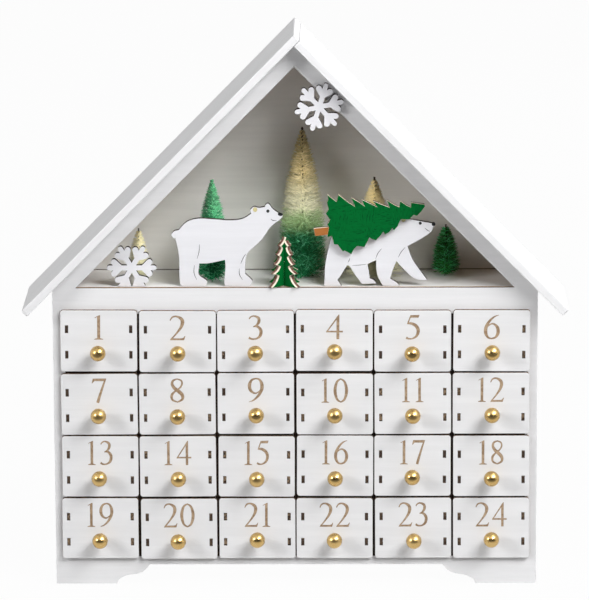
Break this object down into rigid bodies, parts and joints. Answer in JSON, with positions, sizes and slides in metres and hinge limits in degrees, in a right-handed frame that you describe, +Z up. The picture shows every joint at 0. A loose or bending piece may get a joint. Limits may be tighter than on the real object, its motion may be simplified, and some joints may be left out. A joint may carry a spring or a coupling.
{
  "type": "led advent calendar",
  "caption": "Wooden house advent calendar with ball-knobbed numbered drawers under a gabled, lit stage of flat bears, snowflakes and bottle-brush trees; battery case at the back.",
  "frame": {"origin": "on the ground under the middle of the whole object's box", "axes": "+X to the right seen from the front, +Y to the back, +Z up"},
  "size_m": [0.3818, 0.1008, 0.3956],
  "materials": {
    "white_painted_ply": "satin white paint over plywood",
    "bare_fibreboard": "bare brown fibreboard",
    "white_figure_ply": "white paint, laser-cut edges",
    "green_painted_ply": "matt green paint with dark strokes",
    "trunk_paint": "matt orange-brown paint",
    "laser_cut_edge": "scorched plywood edge",
    "engraved_number": "tan laser-engraved number",
    "brass_knob": "polished brass plate",
    "green_bristle": "dyed bristle",
    "cream_bristle": "undyed bristle",
    "twisted_wire": "dark twisted wire",
    "figure_ink": "matt black ink",
    "lamp_resin": "clear warm resin beads on a fine wire",
    "white_plastic": "moulded, fine satin",
    "black_plastic": "moulded",
    "cell_sleeve": "printed sleeve, plain",
    "plated_steel": "nickel plate"
  },
  "bodies": {
    "house": {"front_panel": "white_painted_ply", "back_panel": "white_painted_ply", "side_wall_left": "white_painted_ply", "side_wall_right": "white_painted_ply", "roof_left": "white_painted_ply", "roof_right": "white_painted_ply", "base_board": "white_painted_ply", "stage_floor": "white_painted_ply", "shelf_1": "bare_fibreboard", "shelf_2": "bare_fibreboard", "shelf_3": "bare_fibreboard", "divider_1": "bare_fibreboard", "divider_2": "bare_fibreboard", "divider_3": "bare_fibreboard", "divider_4": "bare_fibreboard", "divider_5": "bare_fibreboard", "bear_standing": "white_figure_ply", "bear_walking": "white_figure_ply", "carried_tree": "green_painted_ply", "slotted_tree_a": "green_painted_ply", "slotted_tree_b": "green_painted_ply", "snowflake_standing": "white_figure_ply", "snowflake_hanging": "white_figure_ply", "brush_tree_tall": "green_bristle", "brush_tree_left": "green_bristle", "brush_tree_centre": "cream_bristle", "brush_tree_right": "green_bristle", "brush_tree_small": "cream_bristle", "led_string": "lamp_resin", "battery_case": "white_plastic", "battery_cell_1": "cell_sleeve", "battery_cell_2": "cell_sleeve", "contact_bridge": "plated_steel"},
    "drawer_01": {"drawer_01": "white_painted_ply"},
    "drawer_02": {"drawer_02": "white_painted_ply"},
    "drawer_03": {"drawer_03": "white_painted_ply"},
    "drawer_04": {"drawer_04": "white_painted_ply"},
    "drawer_05": {"drawer_05": "white_painted_ply"},
    "drawer_06": {"drawer_06": "white_painted_ply"},
    "drawer_07": {"drawer_07": "white_painted_ply"},
    "drawer_08": {"drawer_08": "white_painted_ply"},
    "drawer_09": {"drawer_09": "white_painted_ply"},
    "drawer_10": {"drawer_10": "white_painted_ply"},
    "drawer_11": {"drawer_11": "white_painted_ply"},
    "drawer_12": {"drawer_12": "white_painted_ply"},
    "drawer_13": {"drawer_13": "white_painted_ply"},
    "drawer_14": {"drawer_14": "white_painted_ply"},
    "drawer_15": {"drawer_15": "white_painted_ply"},
    "drawer_16": {"drawer_16": "white_painted_ply"},
    "drawer_17": {"drawer_17": "white_painted_ply"},
    "drawer_18": {"drawer_18": "white_painted_ply"},
    "drawer_19": {"drawer_19": "white_painted_ply"},
    "drawer_20": {"drawer_20": "white_painted_ply"},
    "drawer_21": {"drawer_21": "white_painted_ply"},
    "drawer_22": {"drawer_22": "white_painted_ply"},
    "drawer_23": {"drawer_23": "white_painted_ply"},
    "drawer_24": {"drawer_24": "white_painted_ply"},
    "battery_cover": {"battery_cover": "white_plastic"},
    "switch_slider": {"switch_slider": "black_plastic"}
  },
  "joints": [
    {"name": "drawer_01_slide", "type": "slide", "parent": "house", "child": "drawer_01", "axis": [0, -1, 0], "range_m": [0, 0.05]},
    {"name": "drawer_02_slide", "type": "slide", "parent": "house", "child": "drawer_02", "axis": [0, -1, 0], "range_m": [0, 0.05]},
    {"name": "drawer_03_slide", "type": "slide", "parent": "house", "child": "drawer_03", "axis": [0, -1, 0], "range_m": [0, 0.05]},
    {"name": "drawer_04_slide", "type": "slide", "parent": "house", "child": "drawer_04", "axis": [0, -1, 0], "range_m": [0, 0.05]},
    {"name": "drawer_05_slide", "type": "slide", "parent": "house", "child": "drawer_05", "axis": [0, -1, 0], "range_m": [0, 0.05]},
    {"name": "drawer_06_slide", "type": "slide", "parent": "house", "child": "drawer_06", "axis": [0, -1, 0], "range_m": [0, 0.05]},
    {"name": "drawer_07_slide", "type": "slide", "parent": "house", "child": "drawer_07", "axis": [0, -1, 0], "range_m": [0, 0.05]},
    {"name": "drawer_08_slide", "type": "slide", "parent": "house", "child": "drawer_08", "axis": [0, -1, 0], "range_m": [0, 0.05]},
    {"name": "drawer_09_slide", "type": "slide", "parent": "house", "child": "drawer_09", "axis": [0, -1, 0], "range_m": [0, 0.05]},
    {"name": "drawer_10_slide", "type": "slide", "parent": "house", "child": "drawer_10", "axis": [0, -1, 0], "range_m": [0, 0.05]},
    {"name": "drawer_11_slide", "type": "slide", "parent": "house", "child": "drawer_11", "axis": [0, -1, 0], "range_m": [0, 0.05]},
    {"name": "drawer_12_slide", "type": "slide", "parent": "house", "child": "drawer_12", "axis": [0, -1, 0], "range_m": [0, 0.05]},
    {"name": "drawer_13_slide", "type": "slide", "parent": "house", "child": "drawer_13", "axis": [0, -1, 0], "range_m": [0, 0.05]},
    {"name": "drawer_14_slide", "type": "slide", "parent": "house", "child": "drawer_14", "axis": [0, -1, 0], "range_m": [0, 0.05]},
    {"name": "drawer_15_slide", "type": "slide", "parent": "house", "child": "drawer_15", "axis": [0, -1, 0], "range_m": [0, 0.05]},
    {"name": "drawer_16_slide", "type": "slide", "parent": "house", "child": "drawer_16", "axis": [0, -1, 0], "range_m": [0, 0.05]},
    {"name": "drawer_17_slide", "type": "slide", "parent": "house", "child": "drawer_17", "axis": [0, -1, 0], "range_m": [0, 0.05]},
    {"name": "drawer_18_slide", "type": "slide", "parent": "house", "child": "drawer_18", "axis": [0, -1, 0], "range_m": [0, 0.05]},
    {"name": "drawer_19_slide", "type": "slide", "parent": "house", "child": "drawer_19", "axis": [0, -1, 0], "range_m": [0, 0.05]},
    {"name": "drawer_20_slide", "type": "slide", "parent": "house", "child": "drawer_20", "axis": [0, -1, 0], "range_m": [0, 0.05]},
    {"name": "drawer_21_slide", "type": "slide", "parent": "house", "child": "drawer_21", "axis": [0, -1, 0], "range_m": [0, 0.05]},
    {"name": "drawer_22_slide", "type": "slide", "parent": "house", "child": "drawer_22", "axis": [0, -1, 0], "range_m": [0, 0.05]},
    {"name": "drawer_23_slide", "type": "slide", "parent": "house", "child": "drawer_23", "axis": [0, -1, 0], "range_m": [0, 0.05]},
    {"name": "drawer_24_slide", "type": "slide", "parent": "house", "child": "drawer_24", "axis": [0, -1, 0], "range_m": [0, 0.05]},
    {"name": "battery_cover_slide", "type": "slide", "parent": "house", "child": "battery_cover", "axis": [0, 0, -1], "range_m": [0, 0.05]},
    {"name": "switch_slide", "type": "slide", "parent": "house", "child": "switch_slider", "axis": [1, 0, 0], "range_m": [0, 0.003]}
  ]
}
